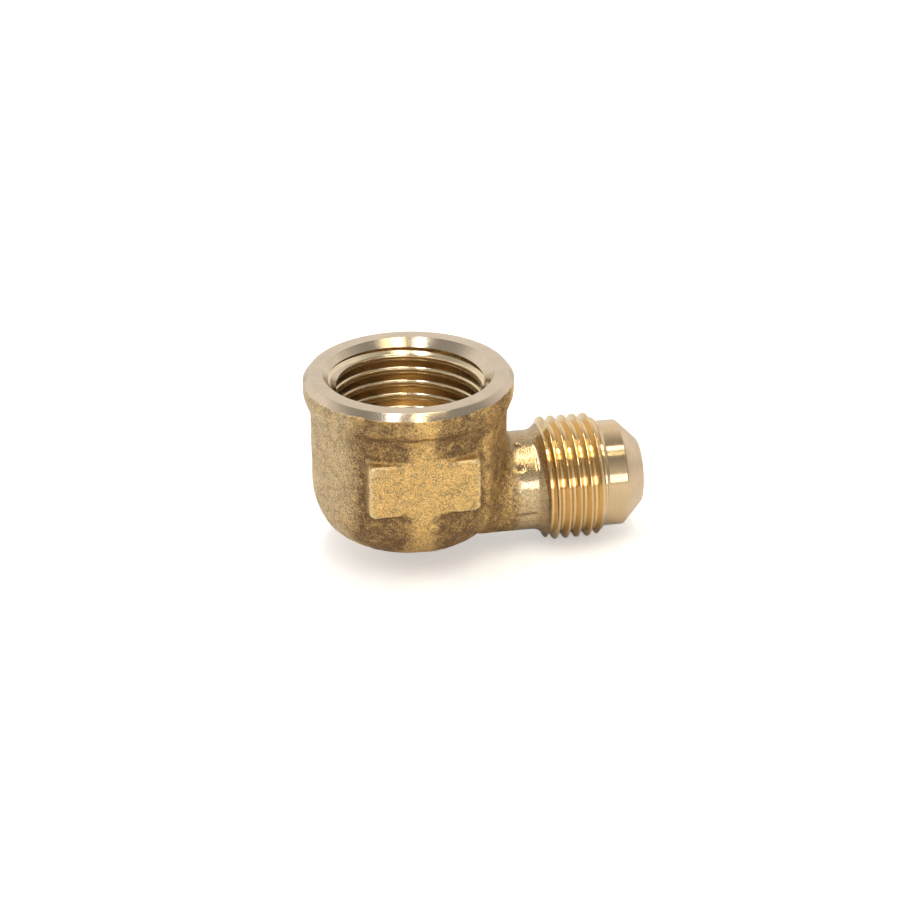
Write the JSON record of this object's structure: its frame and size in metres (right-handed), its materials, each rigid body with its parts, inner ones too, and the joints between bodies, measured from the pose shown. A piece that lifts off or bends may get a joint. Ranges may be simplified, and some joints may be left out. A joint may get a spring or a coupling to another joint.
{
  "type": "flare fitting",
  "caption": "Brass 90 degree elbow fitting with a 45 degree male flare end and a female taper pipe thread, forged in one piece with a collar and flat wrench pads.",
  "frame": {"origin": "where the centre line of the pipe port crosses the centre line of the flare port", "axes": "+Z out of the pipe port's mouth, +X out of the flare port, the wrench pads face -Y and +Y"},
  "size_m": [0.0427, 0.0264, 0.0244],
  "materials": {
    "forged_brass": "tumbled forged skin, bright machined face, threads and seat"
  },
  "bodies": {
    "root": {"elbow_body": "forged_brass"}
  },
  "joints": []
}
